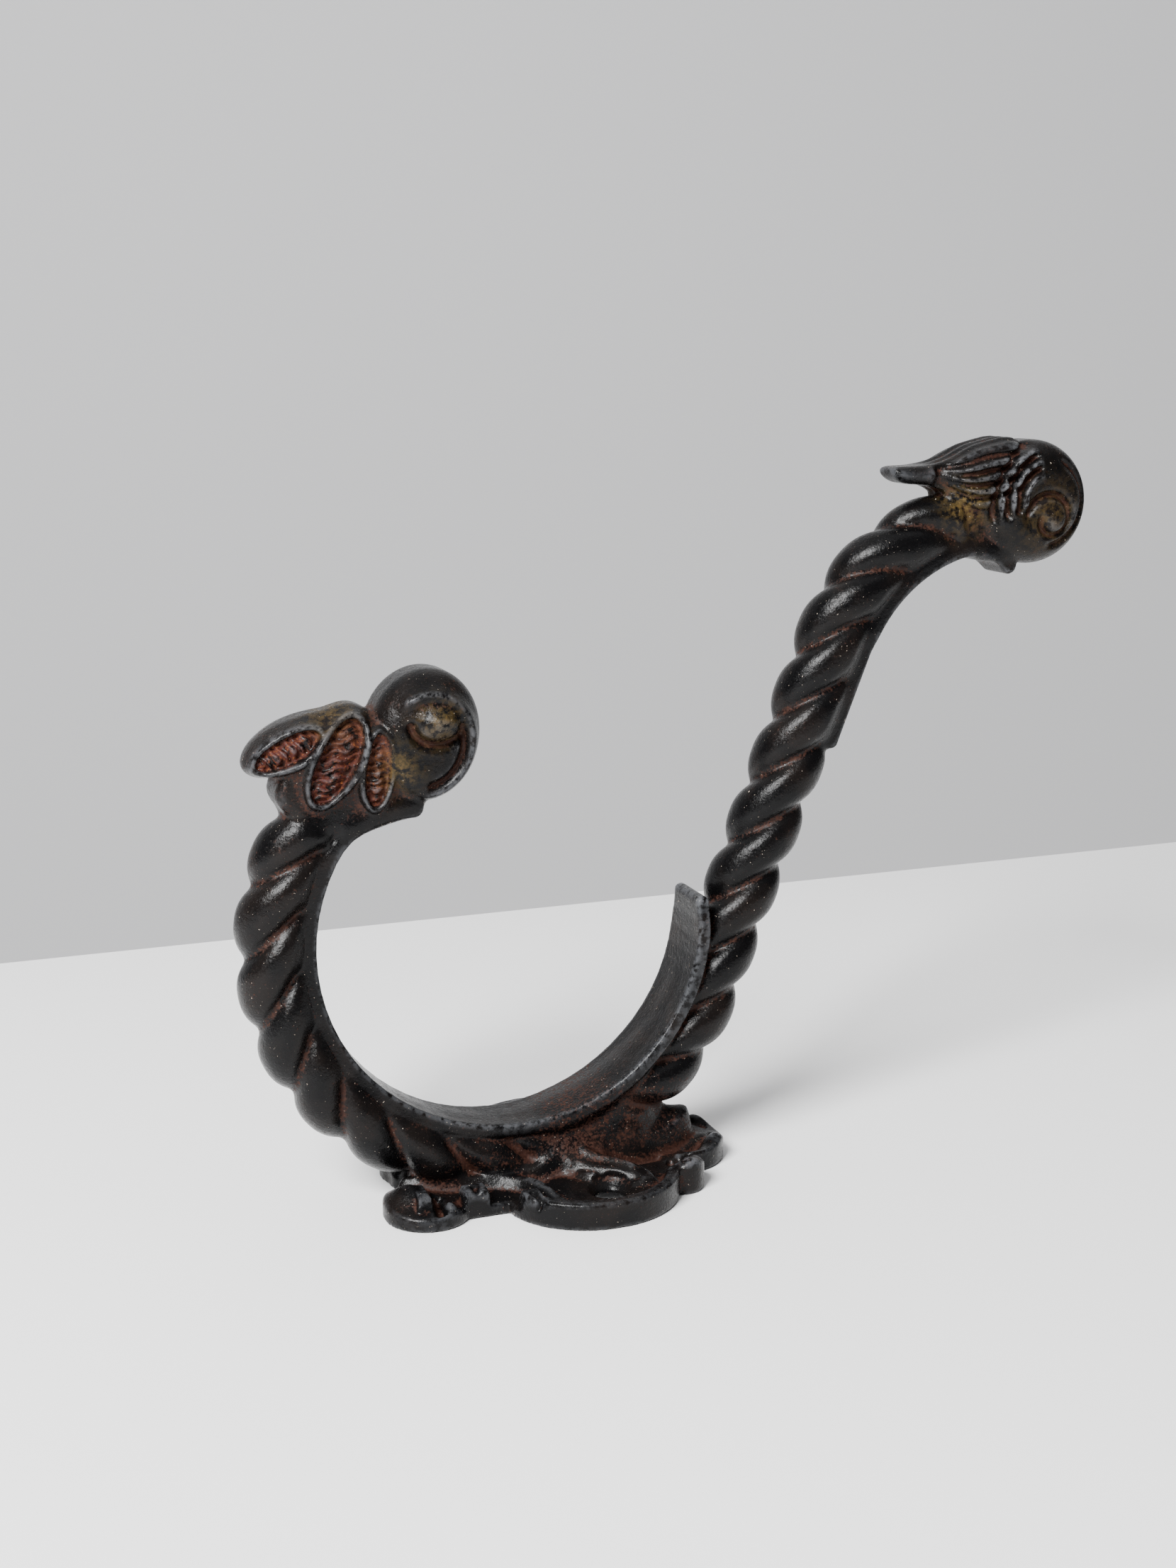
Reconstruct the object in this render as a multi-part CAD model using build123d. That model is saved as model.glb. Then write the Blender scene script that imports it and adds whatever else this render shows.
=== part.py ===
"""A wall hook in cast iron: a leafy back plate with two rope-twist arms that end in scrolls.

The hook stands on its back plate: z = 0 is the face that goes against the wall, and +Z points away from
the wall. +X points from the curled lower hook towards the long upper hook, and is up on a wall. The arms
lie in the plane y = 0. The origin is the centre of the plate's wall face.

The real hook is one casting. Its named features are separate solids here, which meet face to face.
All sizes are in millimetres, and a place in the middle plane is given as (x, z).
"""

import math
import os

from build123d import *

# ---- driving dimensions -------------------------------------------------------------------------------
ROPE_R = 6.2  # half the thickness of both rope arms

# The lower hook curls round this circle, and its grip is the smooth inner face.
LOWER_CENTRE = (-7.5, 44.2)
LOWER_GRIP_R = 32.3
LOWER_R = LOWER_GRIP_R + ROPE_R

# The upper hook bends the other way, round this circle.
UPPER_CENTRE = (80.5, 78.0)
UPPER_GRIP_R = 25.3
UPPER_R = UPPER_GRIP_R + ROPE_R

# Angles about those circles, in degrees from +X towards +Z.
ROOT_AT = 270.0  # on the lower circle, where the two arms meet over the plate
LOWER_ROPE_END = 147.0
UPPER_ROPE_END = 104.0

# Back plate: a slab whose outline is a leaf of round lobes. Its two wings are dished round the holes.
PLATE_T = 4.6
PLATE_EDGE_ROUND = 1.2
WAIST_FROM, WAIST_TO, WAIST_HALF = -25.0, 22.0, 12.8
TOE_X, TOE_Y, TOE_R = -24.0, 8.3, 7.2
WING_X, WING_Y, WING_RX, WING_RY = 3.4, 11.0, 15.0, 13.3
SIDE_LOBE_X, SIDE_LOBE_Y, SIDE_LOBE_R = 19.0, 12.4, 3.9
TAIL_X, TAIL_R = 23.2, 8.4
DISH_X, DISH_Y, DISH_RX, DISH_RY, DISH_DEPTH = 3.4, 15.4, 10.0, 6.2, 1.4
SCREW_X, SCREW_Y, SCREW_HOLE_R, SCREW_SINK_R = 5.0, 15.5, 2.4, 4.0
SINK_DEPTH = SCREW_SINK_R - SCREW_HOLE_R  # a 90 degree countersink

# Root boss: the mound on the plate that carries both arms.
BOSS_FROM, BOSS_TO, BOSS_HALF, BOSS_H, BOSS_TAPER = -27.0, 26.0, 8.4, 4.0, 35.0

# Saddles: the smooth strips that line the two grips.
SADDLE_T = 2.2
SADDLE_HALF_W = 6.2
LOWER_FIN_AT = 6.0  # its end that stands free beside the upper arm
LIP_AT, LIP_R, LIP_SWEEP = 153.0, 12.2, 80.0  # its other end turns in under the scroll
UPPER_TAIL_AT, UPPER_TAIL_LENGTH = 159.0, 20.0  # where the strip runs straight down the arm
SPUR_AT, SPUR_R, SPUR_SWEEP = 106.0, 9.0, 76.0  # and its end under the upper scroll

# Scrolls, with the raised eyes of their two sides, and the necks that carry them.
LOWER_SCROLL, LOWER_SCROLL_RX, LOWER_SCROLL_RZ = (-22.1, 78.1), 9.8, 10.6
UPPER_SCROLL, UPPER_SCROLL_RX, UPPER_SCROLL_RZ = (88.0, 111.5), 11.0, 11.0
SCROLL_HALF_W = 7.4
SCROLL_ROUND = 4.4
LOWER_EYE, UPPER_EYE = (-20.2, 80.6), (89.0, 108.8)
EYE_R, EYE_H, EYE_TAPER = 3.6, 1.1, 25.0
NECK_HALF_W = 5.2

# Leaves: three lobes over the lower neck, each (x, z), half length, half width, turn from +X.
LEAF_HALF_W = 7.6
LEAF_LOBES = [
    ((-43.6, 77.4), 7.0, 3.6, 28.0),
    ((-36.2, 75.4), 8.8, 4.6, 62.0),
    ((-29.8, 73.6), 7.4, 3.6, 84.0),
]


def at(centre, radius, degrees):
    """A point of the middle plane, on a circle."""
    a = math.radians(degrees)
    return centre[0] + radius * math.cos(a), centre[1] + radius * math.sin(a)


def crossing_tangent():
    """The angle on the lower circle where the straight arm leaves it, to cross over to the upper one."""
    gap_x, gap_z = UPPER_CENTRE[0] - LOWER_CENTRE[0], UPPER_CENTRE[1] - LOWER_CENTRE[1]
    apart = math.hypot(gap_x, gap_z)
    return math.degrees(math.atan2(gap_z, gap_x) - math.acos((LOWER_R + UPPER_R) / apart))


TANGENT = crossing_tangent()  # about -21 degrees, and 180 degrees more on the upper circle


def arc(centre, radius, start, end):
    """An arc of the middle plane, from one angle to another."""
    return Plane.XZ * CenterArc(centre, radius, start, end - start)


def tube(path):
    """The round bar of an arm, along a path."""
    return sweep(Plane(origin=path @ 0, z_dir=path % 0) * Circle(ROPE_R), path=path)


def across(face, half_width):
    """A solid from a face of the middle plane, the same distance to either side."""
    return extrude(face, amount=half_width, both=True)


def both_sides(solid):
    """A solid and its mirror image in the middle plane."""
    return solid + mirror(solid, Plane.XZ)


def outline(*points):
    """A closed smooth face of the middle plane through (x, z) points."""
    return Plane.XZ * make_face(Spline(*points, periodic=True))


# ---- the plate and its boss ---------------------------------------------------------------------------
def plate_outline():
    length = WAIST_TO - WAIST_FROM
    shape = Pos((WAIST_FROM + WAIST_TO) / 2, 0) * Rectangle(length, 2 * WAIST_HALF)
    shape += Pos(TAIL_X, 0) * Circle(TAIL_R)
    for side in (-1, 1):
        shape += Pos(TOE_X, side * TOE_Y) * Circle(TOE_R)
        shape += Pos(WING_X, side * WING_Y) * Ellipse(WING_RX, WING_RY)
        shape += Pos(SIDE_LOBE_X, side * SIDE_LOBE_Y) * Circle(SIDE_LOBE_R)
    return shape


def wing_hollow():
    """What is cut from one wing: a shallow dish, and the countersunk screw hole in its floor."""
    floor = PLATE_T - DISH_DEPTH
    dish = extrude(Pos(DISH_X, DISH_Y, floor) * Ellipse(DISH_RX, DISH_RY), amount=PLATE_T)
    hole = Pos(SCREW_X, SCREW_Y) * Cylinder(SCREW_HOLE_R, 3 * PLATE_T)
    sink = Pos(SCREW_X, SCREW_Y, floor - SINK_DEPTH / 2) * Cone(SCREW_HOLE_R, SCREW_SINK_R, SINK_DEPTH)
    return dish + hole + sink


def back_plate():
    slab = extrude(plate_outline(), amount=PLATE_T)
    slab = fillet(slab.faces().sort_by(Axis.Z)[-1].edges(), PLATE_EDGE_ROUND)
    return slab - both_sides(wing_hollow())


def root_boss():
    middle = (BOSS_FROM + BOSS_TO) / 2
    shape = Pos(middle, 0, PLATE_T) * SlotOverall(BOSS_TO - BOSS_FROM, 2 * BOSS_HALF)
    return extrude(shape, amount=BOSS_H, taper=BOSS_TAPER)


# ---- the rope arms ------------------------------------------------------------------------------------
def lower_rope():
    return tube(arc(LOWER_CENTRE, LOWER_R, LOWER_ROPE_END, ROOT_AT))


def upper_rope():
    x0, z0 = at(LOWER_CENTRE, LOWER_R, TANGENT)
    x1, z1 = at(UPPER_CENTRE, UPPER_R, TANGENT + 180)
    root = tube(arc(LOWER_CENTRE, LOWER_R, ROOT_AT, 360 + TANGENT))
    straight = tube(Line((x0, 0, z0), (x1, 0, z1)))
    bend = tube(arc(UPPER_CENTRE, UPPER_R, TANGENT + 180, UPPER_ROPE_END))
    return root + straight + bend


# ---- the saddles --------------------------------------------------------------------------------------
def strip(centre, radius, start, end):
    """A saddle strip whose grip face lies on a circle, with its thickness outside that circle."""
    grip, back = arc(centre, radius, start, end), arc(centre, radius + SADDLE_T, start, end)
    face = make_face([grip, back, Line(grip @ 0, back @ 0), Line(grip @ 1, back @ 1)])
    return across(face, SADDLE_HALF_W)


def turned_end(centre, grip_r, start, radius, sweep_angle):
    """The end of a saddle, which turns off the grip circle on a smaller circle inside it."""
    return strip(at(centre, grip_r - radius, start), radius, start, start - sweep_angle)


def lower_saddle():
    """From the fin beside the upper arm round to the lip under the scroll."""
    lining = strip(LOWER_CENTRE, LOWER_GRIP_R, LIP_AT, 360 + LOWER_FIN_AT)
    return lining + turned_end(LOWER_CENTRE, LOWER_GRIP_R, LIP_AT, LIP_R, LIP_SWEEP)


def upper_saddle():
    """From its tail on the straight arm round to the spur under the scroll."""
    lining = strip(UPPER_CENTRE, UPPER_GRIP_R, SPUR_AT, UPPER_TAIL_AT)
    spur = turned_end(UPPER_CENTRE, UPPER_GRIP_R, SPUR_AT, SPUR_R, SPUR_SWEEP)
    start_x, start_z = at(UPPER_CENTRE, UPPER_GRIP_R + SADDLE_T / 2, UPPER_TAIL_AT)
    tail_box = Box(SADDLE_T, 2 * SADDLE_HALF_W, UPPER_TAIL_LENGTH)
    lean = 180 - UPPER_TAIL_AT
    tail = Pos(start_x, 0, start_z) * Rot(0, lean, 0) * Pos(0, 0, -UPPER_TAIL_LENGTH / 2) * tail_box
    return lining + spur + tail


# ---- the scrolls, necks and leaves --------------------------------------------------------------------
def scroll(centre, rx, rz):
    """A round scroll, thick across the hook and well rounded at both sides."""
    drum = across(Plane.XZ * (Pos(*centre) * Ellipse(rx, rz)), SCROLL_HALF_W)
    rims = [drum.faces().sort_by(Axis.Y)[end].edges() for end in (0, -1)]
    return fillet(rims[0] + rims[1], SCROLL_ROUND)


def scroll_eyes(centre):
    """The raised centres of a scroll's two sides."""
    near_face = Plane.XZ.offset(SCROLL_HALF_W)
    return both_sides(extrude(near_face * (Pos(*centre) * Circle(EYE_R)), amount=EYE_H, taper=EYE_TAPER))


def lower_neck():
    """The web between the end of the lower rope, the lip and the scroll, mostly under the leaf."""
    face = outline((-45.0, 68.5), (-43.5, 74.5), (-36, 79.5), (-22, 80), (-20, 72), (-24, 66), (-35.5, 63.5))
    return across(face, NECK_HALF_W)


def upper_neck():
    """The web between the end of the upper rope, the spur and the scroll."""
    face = outline((70.5, 113.0), (76.0, 116.5), (86.0, 116.0), (87.0, 104.0), (80.0, 101.5), (73.5, 104.0))
    return across(face, NECK_HALF_W)


def lower_leaf():
    """Three lobes side by side: the outermost ends in the curled tip, and the last meets the scroll."""
    lobes = Part()
    for (x, z), half_length, half_width, turn in LEAF_LOBES:
        lobe = Plane.XZ * (Pos(x, z) * Rot(0, 0, turn) * Ellipse(half_length, half_width))
        lobes += across(lobe, LEAF_HALF_W)
    return lobes


def upper_leaf():
    """The leaf that sweeps from its pointed tip up on to the scroll."""
    face = outline(
        (61.0, 117.4),
        (66.0, 117.8),
        (71.0, 119.2),
        (76.5, 121.6),
        (84.0, 122.0),
        (84.0, 113.0),
        (76.0, 110.5),
        (68.0, 114.6),
        (62.5, 115.6),
    )
    return across(face, LEAF_HALF_W)


# ---- how the features meet ----------------------------------------------------------------------------
def build():
    """Every node. What comes first keeps its shape, and what comes later is cut back to meet it."""
    below = Pos(0, 0, -PLATE_T) * Box(400, 400, 4 * PLATE_T)  # everything up to the plate's outer face
    made = {
        "back_plate": back_plate(),
        "lower_saddle": lower_saddle(),
        "upper_saddle": upper_saddle(),
        "lower_scroll": scroll(LOWER_SCROLL, LOWER_SCROLL_RX, LOWER_SCROLL_RZ),
        "upper_scroll": scroll(UPPER_SCROLL, UPPER_SCROLL_RX, UPPER_SCROLL_RZ),
        "lower_scroll_eyes": scroll_eyes(LOWER_EYE),
        "upper_scroll_eyes": scroll_eyes(UPPER_EYE),
        "lower_rope": lower_rope() - below,
        "upper_rope": upper_rope() - below,
        "root_boss": root_boss(),
        "lower_neck": lower_neck(),
        "upper_neck": upper_neck(),
        "lower_leaf": lower_leaf(),
        "upper_leaf": upper_leaf(),
    }
    meets = {
        "lower_saddle": ["lower_scroll"],
        "upper_saddle": ["upper_scroll"],
        "lower_rope": ["lower_saddle"],
        "upper_rope": ["lower_saddle", "upper_saddle"],
        "root_boss": ["lower_rope", "upper_rope", "lower_saddle"],
        "lower_neck": ["lower_saddle", "lower_scroll", "lower_rope"],
        "upper_neck": ["upper_saddle", "upper_scroll", "upper_rope"],
        "lower_leaf": ["lower_saddle", "lower_scroll", "lower_neck", "lower_rope"],
        "upper_leaf": ["upper_saddle", "upper_scroll", "upper_scroll_eyes", "upper_neck", "upper_rope"],
    }
    for name, others in meets.items():
        for other in others:
            made[name] -= made[other]
    for name in ("lower_neck", "upper_neck"):  # what a saddle cuts off on its grip side is dropped
        made[name] = made[name].solids().sort_by(SortBy.VOLUME)[-1]
    return made


def main():
    os.makedirs("parts", exist_ok=True)
    for name, shape in build().items():
        solids = shape.solids()
        print(name, [round(solid.volume, 1) for solid in solids])
        export_step(Compound(children=solids), f"parts/{name}.step")


main()
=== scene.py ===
"""Looks of the cast-iron rope-twist hat and coat hook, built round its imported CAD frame.

The hook is one casting. Its surface is made once, as one closed shape: every feature is a distance from a
surface, worked out on a fine grid, and the features flow into each other as they do in a mould. The shape
is then cut along the CAD's own regions, so that each piece stands for its node. Sizes below are in
millimetres, in the CAD's frame: (x, z) is a place in the middle plane and (x, y) one on the plate.
"""

import math

import bmesh
import bpy
import numpy as np
import openvdb
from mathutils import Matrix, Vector


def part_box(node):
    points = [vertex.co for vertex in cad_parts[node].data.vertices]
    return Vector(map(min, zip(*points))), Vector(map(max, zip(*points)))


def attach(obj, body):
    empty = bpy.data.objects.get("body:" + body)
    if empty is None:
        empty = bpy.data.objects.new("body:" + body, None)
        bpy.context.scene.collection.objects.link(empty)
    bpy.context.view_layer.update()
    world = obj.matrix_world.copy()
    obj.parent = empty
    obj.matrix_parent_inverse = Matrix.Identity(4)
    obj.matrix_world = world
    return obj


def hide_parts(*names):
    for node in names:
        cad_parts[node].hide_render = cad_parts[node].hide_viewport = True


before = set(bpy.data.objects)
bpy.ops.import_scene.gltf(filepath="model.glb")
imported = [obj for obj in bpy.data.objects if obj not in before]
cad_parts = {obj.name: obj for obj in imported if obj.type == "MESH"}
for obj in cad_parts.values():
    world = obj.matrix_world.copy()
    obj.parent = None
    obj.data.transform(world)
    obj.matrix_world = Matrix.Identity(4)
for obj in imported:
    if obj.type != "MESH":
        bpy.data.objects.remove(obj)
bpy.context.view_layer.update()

MM = 0.001
STEP = 0.3  # the grid the casting is worked out on
MARGIN = 3.0  # room round the CAD nodes
REACH = 2.4  # how far from the surface the grid is filled in
FAR = 99.0  # a distance that is out of reach of everything


# ---- driving dimensions: read from the frame, or part.py's values where no comment says otherwise ------
def node_box(name):
    """A CAD node's lowest and highest corner, in millimetres."""
    return [np.array(corner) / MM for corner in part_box(name)]


rope_low, rope_high = node_box("lower_rope")
saddle_low = node_box("lower_saddle")[0]
ROPE_R = (rope_high[1] - rope_low[1]) / 2
LOWER_GRIP_R, UPPER_GRIP_R, SADDLE_T = 32.3, 25.3, 2.2
LOWER_CENTRE = (rope_high[0], saddle_low[2] + LOWER_GRIP_R + SADDLE_T)
LOWER_R = LOWER_GRIP_R + ROPE_R
UPPER_CENTRE = (80.5, 78.0)
UPPER_R = UPPER_GRIP_R + ROPE_R
LOWER_ROPE_END, UPPER_ROPE_END = 147.0, 104.0
PLATE_T = node_box("back_plate")[1][2]
# The saddles' free ends stop short of the CAD's: fin 2, lip 9 and spur 14 degrees, and the tail 3.5 mm.
FIN_AT = 364.0
LIP_AT, LIP_R, LIP_SWEEP = 153.0, 12.2, 71.0
TAIL_AT, TAIL_LENGTH = 159.0, 16.5
SPUR_AT, SPUR_R, SPUR_SWEEP = 106.0, 9.0, 62.0
LOWER_SCROLL, LOWER_SCROLL_R = (-22.1, 78.1), (9.8, 10.6)
UPPER_SCROLL, UPPER_SCROLL_R = (88.0, 111.5), (11.0, 11.0)
SCROLL_HALF_W, SCROLL_ROUND = 7.4, 4.4


def middle(name):
    """The middle of a CAD node's box, seen from the side."""
    box = node_box(name)
    return (box[0][0] + box[1][0]) / 2, (box[0][2] + box[1][2]) / 2


LOWER_EYE, UPPER_EYE = middle("lower_scroll_eyes"), middle("upper_scroll_eyes")
# The lower leaf's lobes, the middle one last as it lies over the others: centre, radii, turn, and the way its
# ribs run, which part.py doesn't have.
LOBES = [
    ((-43.6, 77.4), (7.0, 3.6), 28.0, 118.0),
    ((-29.8, 73.6), (7.4, 3.6), 84.0, 0.0),
    ((-36.2, 75.4), (8.8, 4.6), 62.0, 8.0),
]
LEAF_TOP = [(61.0, 117.4), (66.0, 117.8), (71.0, 119.2), (76.5, 121.6), (84.0, 122.0)]
LEAF_UNDER = [(62.5, 115.6), (68.0, 114.6), (76.0, 110.5), (84.0, 113.0)]
LOWER_NECK = [(-45.0, 68.5), (-43.5, 74.5), (-36, 79.5), (-22, 80), (-20, 72), (-24, 66), (-35.5, 63.5)]
UPPER_NECK = [(70.5, 113.0), (76.0, 116.5), (86.0, 116.0), (87.0, 104.0), (80.0, 101.5), (73.5, 104.0)]
NECK_HALF_W = 5.2
SCREW, SCREW_HOLE_R, SCREW_SINK_R, SINK_FROM = (5.0, 15.5), 2.4, 4.0, 1.6

# ---- the grid -----------------------------------------------------------------------------------------
node_boxes = [node_box(name) for name in (
    "back_plate", "lower_rope", "upper_rope", "lower_scroll", "upper_scroll", "lower_leaf", "upper_leaf"
)]
low = np.min([box[0] for box in node_boxes], axis=0) - MARGIN
high = np.max([box[1] for box in node_boxes], axis=0) + MARGIN
count = [int(n) for n in np.ceil((high - low) / STEP) + 1]
low[1] = -(count[1] - 1) / 2 * STEP
GX, GY, GZ = (low[axis] + STEP * np.arange(count[axis]) for axis in range(3))


class Sheet:
    """A flat grid, the middle plane or the plate's face, on which outlines and strokes are drawn."""

    def __init__(self, us, vs, fold=False):
        self.us, self.vs = us, vs
        self.u, self.v = np.meshgrid(us, vs, indexing="ij")
        if fold:
            self.v = abs(self.v)  # what is drawn on one side is there on the other as well

    def flat(self, value=0.0):
        return np.full(self.u.shape, float(value))

    def outline(self, points):
        """Distance from a smooth closed outline through the points, negative inside."""
        line = curve(points, closed=True)
        return self.within(list(zip(line[:-1], line[1:])))

    def within(self, lines):
        """Distance from the edge that short lines make together, negative inside."""
        away = np.min([nearest(self.u, self.v, np.array(line))[0] for line in lines], axis=0)
        inside = np.zeros(self.u.shape, bool)
        for (a, b), (c, d) in lines:
            if b != d:
                crossed = ((b > self.v) != (d > self.v)) & (self.u < (c - a) * (self.v - b) / (d - b) + a)
                inside ^= crossed
        return np.where(inside, -away, away)

    def stroke(self, field, points, height, width, fade=0.18):
        """Adds a soft ridge, or a groove where height is negative, along a smooth line. Its ends fade."""
        away, share = nearest(self.u, self.v, curve(points))
        ends = step_between(0, fade, share) * step_between(0, fade, 1 - share) if fade else 1
        field += height * ends * np.exp(-((away / width) ** 2))

    def dome(self, field, centre, radius, height, stretch=1.0, turn=0.0):
        """Adds a soft bump or dip round a point."""
        c, s = math.cos(math.radians(turn)), math.sin(math.radians(turn))
        du, dv = self.u - centre[0], self.v - centre[1]
        along, across = du * c + dv * s, dv * c - du * s
        field += height * np.exp(-((along / (radius * stretch)) ** 2) - (across / radius) ** 2)


def node_section(name, across, level, keep=lambda place: True):
    """The short lines where a plane across an axis cuts a CAD node, in millimetres, without that axis."""
    shape = bmesh.new()
    shape.from_mesh(bpy.data.objects[name].data)
    normal = Vector([float(axis == across) for axis in range(3)])
    parts = shape.verts[:] + shape.edges[:] + shape.faces[:]
    found = bmesh.ops.bisect_plane(shape, geom=parts, plane_co=normal * level * MM, plane_no=normal)
    others = [axis for axis in range(3) if axis != across]
    lines = [
        [[vert.co[axis] / MM for axis in others] for vert in part.verts]
        for part in found["geom_cut"]
        if isinstance(part, bmesh.types.BMEdge)
    ]
    shape.free()
    return [line for line in lines if keep(np.mean(line, axis=0))]


def curve(points, closed=False, per=6):
    """A smooth line through the points."""
    p = np.array(points, float)
    p = np.vstack([p[-1], p, p[:2]]) if closed else np.vstack([2 * p[0] - p[1], p, 2 * p[-1] - p[-2]])
    t = np.linspace(0, 1, per, endpoint=False)[:, None]
    spans = [
        b + 0.5 * ((c - a) * t + (2 * a - 5 * b + 4 * c - d) * t**2 + (3 * b - a - 3 * c + d) * t**3)
        for a, b, c, d in zip(p[:-3], p[1:-2], p[2:-1], p[3:])
    ]
    return np.vstack(spans + [p[-2:-1]])


def nearest(u, v, line):
    """Distance from a line of points, and how far along it the nearest place is, from 0 to 1."""
    best, share = np.full(u.shape, 1e9), np.zeros(u.shape)
    for i, (a, b) in enumerate(zip(line[:-1], line[1:])):
        (ax, ay), (ex, ey) = (float(c) for c in a), (float(c) for c in b - a)
        t = np.clip(((u - ax) * ex + (v - ay) * ey) / max(ex * ex + ey * ey, 1e-12), 0, 1)
        d = (u - ax - ex * t) ** 2 + (v - ay - ey * t) ** 2
        near = d < best
        best, share = np.where(near, d, best), np.where(near, (i + t) / (len(line) - 1), share)
    return np.sqrt(best), share


def step_between(a, b, v):
    """0 at a and 1 at b, with a smooth step between them."""
    t = np.clip((v - a) / (b - a), 0, 1)
    return t * t * (3 - 2 * t)


def join(a, b, k):
    """Both shapes, with a fillet of about k where they meet."""
    h = np.clip(0.5 + 0.5 * (b - a) / k, 0, 1)
    return b + (a - b) * h - k * h * (1 - h)


def common(a, b, k):
    """What both shapes share, with a soft edge of about k."""
    return -join(-a, -b, k)


def at(centre, radius, degrees):
    """A point on a circle, with the angle taken from +X."""
    a = math.radians(degrees)
    return centre[0] + radius * math.cos(a), centre[1] + radius * math.sin(a)


def ellipse(sheet, centre, radii, turn=0.0):
    """Distance from a turned ellipse, negative inside: exact at its edge and near enough elsewhere."""
    c, s = math.cos(math.radians(turn)), math.sin(math.radians(turn))
    du, dv = sheet.u - centre[0], sheet.v - centre[1]
    a, b = (du * c + dv * s) / radii[0], (dv * c - du * s) / radii[1]
    grown = np.hypot(a, b)
    slope = np.hypot(a / radii[0], b / radii[1]) / np.maximum(grown, 1e-6)
    return (grown - 1) / np.maximum(slope, 1e-6)


side = Sheet(GX, GZ)
plan = Sheet(GX, GY, fold=True)
SHORTER_TOE = 3.8  # how much less the toe at +y reaches out
plan.u = plan.u - SHORTER_TOE * step_between(-1.0, 6.0, GY)[None, :] * step_between(-13.0, -27.0, plan.u)

# ---- the arms' centreline: an arc, a straight and an arc the other way --------------------------------
gap = np.array(UPPER_CENTRE) - np.array(LOWER_CENTRE)
TANGENT = math.degrees(math.atan2(gap[1], gap[0]) - math.acos((LOWER_R + UPPER_R) / np.hypot(*gap)))
cross_from = np.array(at(LOWER_CENTRE, LOWER_R, TANGENT))
cross_to = np.array(at(UPPER_CENTRE, UPPER_R, TANGENT + 180))
cross = cross_to - cross_from
CROSS_LENGTH = np.hypot(*cross)
cross /= CROSS_LENGTH
LOWER_LENGTH = LOWER_R * math.radians(360 + TANGENT - LOWER_ROPE_END)
UPPER_LENGTH = UPPER_R * math.radians(TANGENT + 180 - UPPER_ROPE_END)
WHOLE_LENGTH = LOWER_LENGTH + CROSS_LENGTH + UPPER_LENGTH


def centreline():
    """For each place in the middle plane: how far along the arms it is, and how far to their left."""
    du, dv = side.u - LOWER_CENTRE[0], side.v - LOWER_CENTRE[1]
    turn = (np.degrees(np.arctan2(dv, du)) - LOWER_ROPE_END + 60) % 360 - 60
    along1, left1 = LOWER_R * np.radians(turn), LOWER_R - np.hypot(du, dv)
    du, dv = side.u - cross_from[0], side.v - cross_from[1]
    along2, left2 = du * cross[0] + dv * cross[1], dv * cross[0] - du * cross[1]
    du, dv = side.u - UPPER_CENTRE[0], side.v - UPPER_CENTRE[1]
    turn = (TANGENT + 180 - np.degrees(np.arctan2(dv, du)) + 150) % 360 - 150
    along3, left3 = UPPER_R * np.radians(turn), np.hypot(du, dv) - UPPER_R
    past1 = (along1 > LOWER_LENGTH) & (side.u > 10)
    straight = past1 | ((side.u > 26) & (along2 > 0))
    bend = (along2 > CROSS_LENGTH) & (side.v > cross_to[1] - 12) & (side.u > cross_to[0] - 12)
    along = np.where(straight, LOWER_LENGTH + along2, along1)
    left = np.where(straight, left2, np.where(along1 > LOWER_LENGTH + 4, FAR, left1))
    return (
        np.where(bend, LOWER_LENGTH + CROSS_LENGTH + along3, along),
        np.where(bend, left3, left),
    )


along, left = centreline()


# ---- the saddles: strips that line the grips -----------------------------------------------------------
def ring_line(centre, radius, start, end, n=24):
    return [at(centre, radius, a) for a in np.linspace(start, end, n)]


def saddle_lines():
    """The middle lines of the two strips, from one free end to the other."""
    half = SADDLE_T / 2
    lip_centre = at(LOWER_CENTRE, LOWER_GRIP_R - LIP_R, LIP_AT)
    lip = ring_line(lip_centre, LIP_R + half, LIP_AT - LIP_SWEEP, LIP_AT, 8)[:-1]
    lower = lip + ring_line(LOWER_CENTRE, LOWER_GRIP_R + half, LIP_AT, FIN_AT, 40)
    spur_centre = at(UPPER_CENTRE, UPPER_GRIP_R - SPUR_R, SPUR_AT)
    spur = ring_line(spur_centre, SPUR_R + half, SPUR_AT - SPUR_SWEEP, SPUR_AT, 8)[:-1]
    lining = ring_line(UPPER_CENTRE, UPPER_GRIP_R + half, SPUR_AT, TAIL_AT, 16)
    down = np.array([math.sin(math.radians(-TAIL_AT)), -math.cos(math.radians(180 - TAIL_AT))])
    end = np.array(lining[-1]) + down * TAIL_LENGTH
    return np.array(lower), np.array(spur + lining + [tuple(end)])


lower_strip, upper_strip = saddle_lines()

# ---- what is drawn in the middle plane ------------------------------------------------------------------
drawn = {"along": along, "left": left}

lower_away, lower_share = nearest(side.u, side.v, lower_strip)
upper_away, upper_share = nearest(side.u, side.v, upper_strip)
fin = step_between(0.93, 1.0, lower_share)
lip_thin = step_between(0.08, 0.0, lower_share)
drawn["lower_strip"] = lower_away - SADDLE_T / 2 * (1 + 0.05 * lip_thin)
drawn["lower_strip_w"] = (
    3.9
    + 0.8 * step_between(0.26, 0.10, lower_share)
    + 2.5 * step_between(0.44, 0.80, lower_share)
    - 1.1 * fin**3
)
spur_thin, tail_thin = step_between(0.12, 0.0, upper_share), step_between(0.86, 1.0, upper_share)
drawn["upper_strip"] = upper_away - SADDLE_T / 2 * (1 + 0.3 * spur_thin)
drawn["upper_strip_w"] = 4.5 - 0.7 * tail_thin - 0.8 * spur_thin
drawn["by_strip"] = step_between(3.5, 1.1, np.minimum(lower_away, upper_away))


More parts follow.
